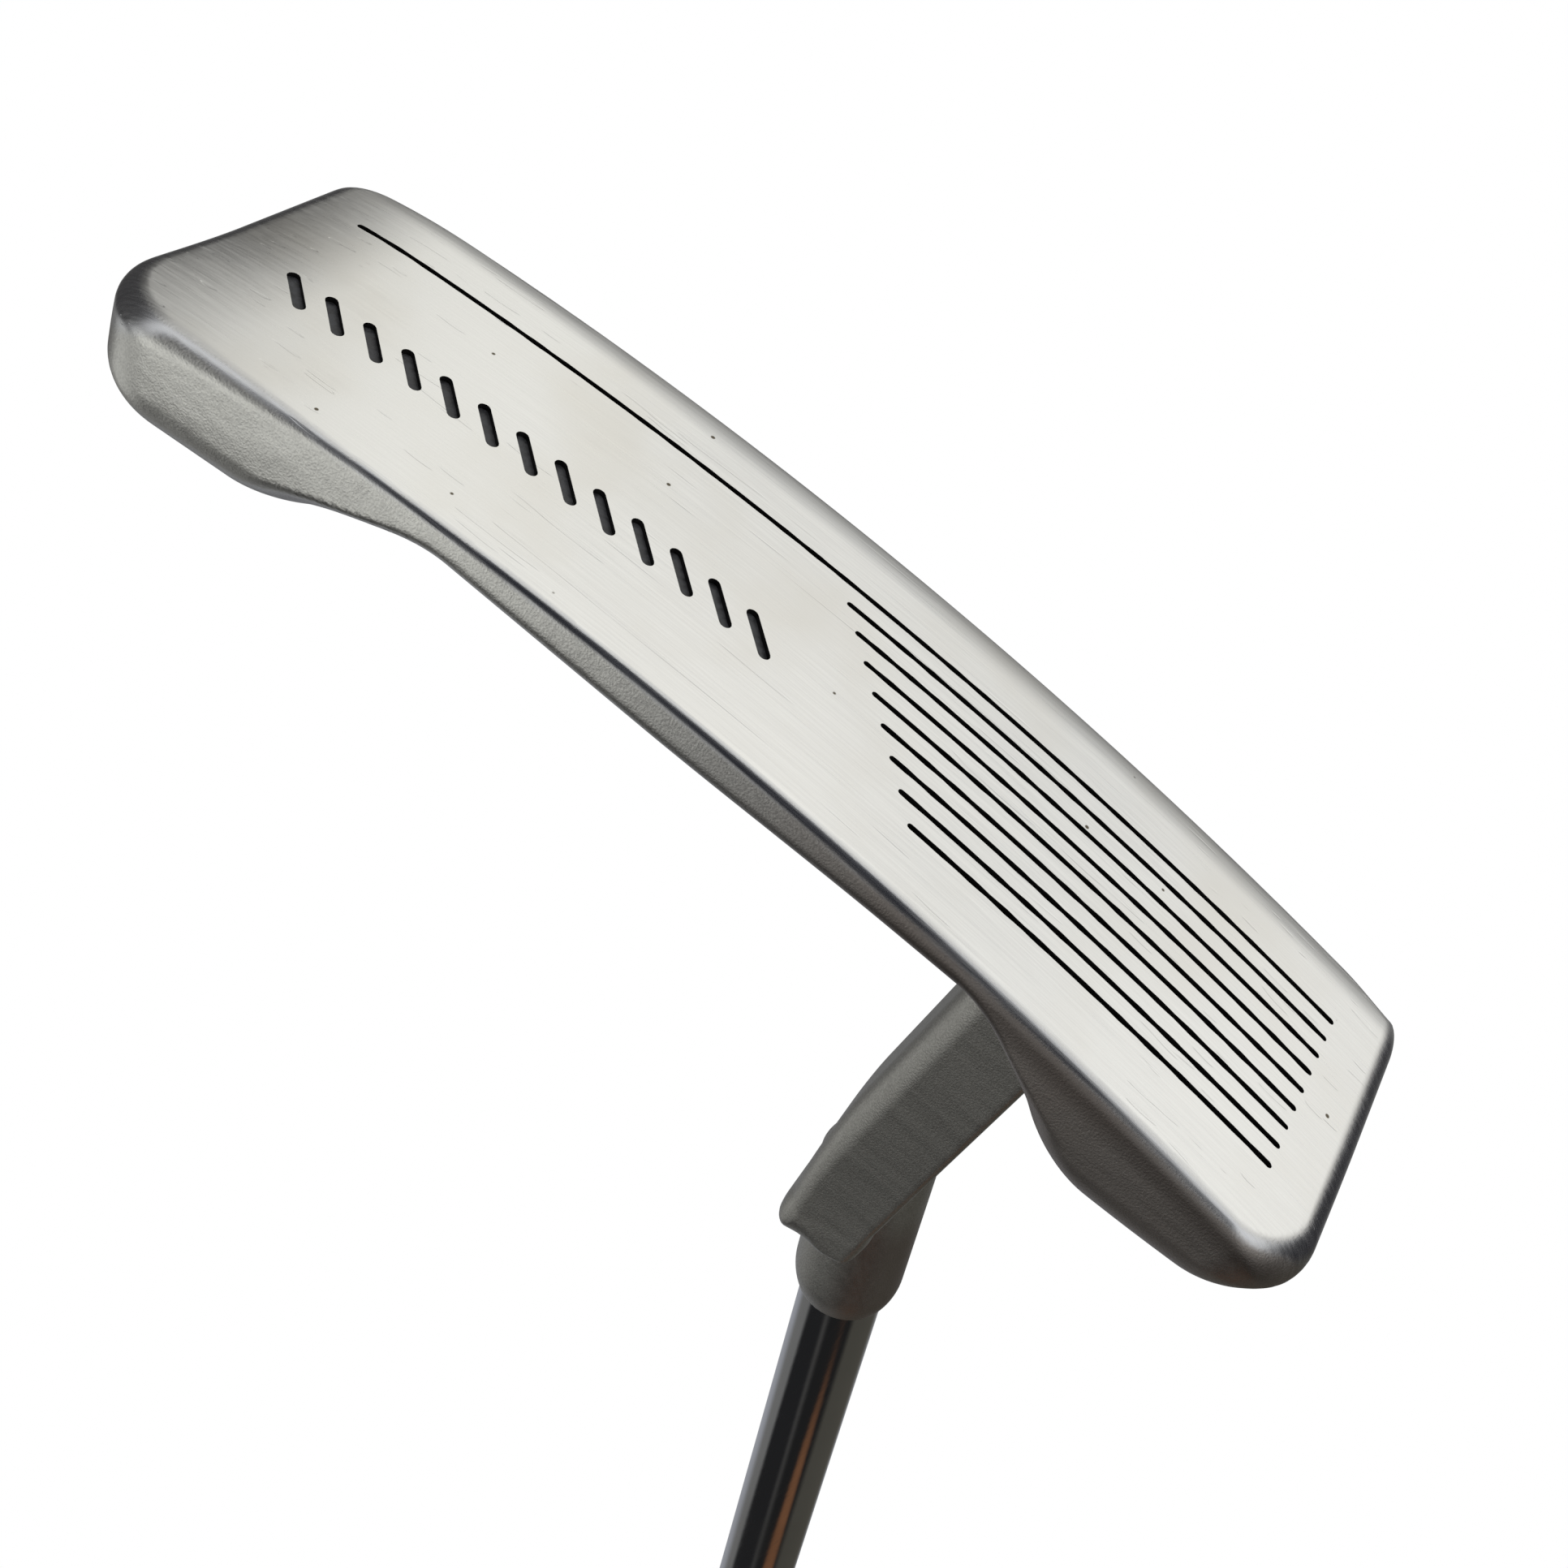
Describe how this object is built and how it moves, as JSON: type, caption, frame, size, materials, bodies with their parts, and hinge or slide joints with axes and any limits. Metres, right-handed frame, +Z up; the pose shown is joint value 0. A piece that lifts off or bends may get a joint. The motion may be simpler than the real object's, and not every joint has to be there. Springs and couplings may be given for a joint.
{
  "type": "blade putter",
  "caption": "Right-handed heel-and-toe-weighted blade putter with an offset bent neck, engraved sole lines, a stepped steel shaft and a rubber pistol grip.",
  "frame": {"origin": "lowest point of the sole, on the long engraved sole line", "axes": "+X to the toe, +Y to the target (out of the face), +Z up at address; the shaft leans to -X"},
  "size_m": [0.3748, 0.0501, 0.8305],
  "materials": {
    "cast_steel": "satin linished sole and face, polished edges, bead-blasted back and neck",
    "groove_paint": "black enamel in the engraved lines",
    "mark_paint": "dark grey enamel in the motif",
    "sight_paint": "black enamel",
    "shaft_chrome": "bright chrome plate",
    "epoxy": "cured adhesive",
    "plug": "pressed cork plug",
    "band": "plain satin foil label with two thin dark rules",
    "tape": "paper-backed double-sided tape",
    "grip_rubber": "matt moulded rubber",
    "cap_rubber": "harder moulded rubber",
    "grip_paint": "white paint"
  },
  "bodies": {
    "root": {"head_casting": "cast_steel", "long_line_fill": "groove_paint", "short_groove_fill": "groove_paint", "motif_fill": "mark_paint", "sight_line_fill": "sight_paint", "shaft": "shaft_chrome", "hosel_epoxy": "epoxy", "tip_plug": "plug", "shaft_band": "band", "grip_tape": "tape", "grip": "grip_rubber", "grip_cap": "cap_rubber", "grip_line_fill": "grip_paint"}
  },
  "joints": []
}
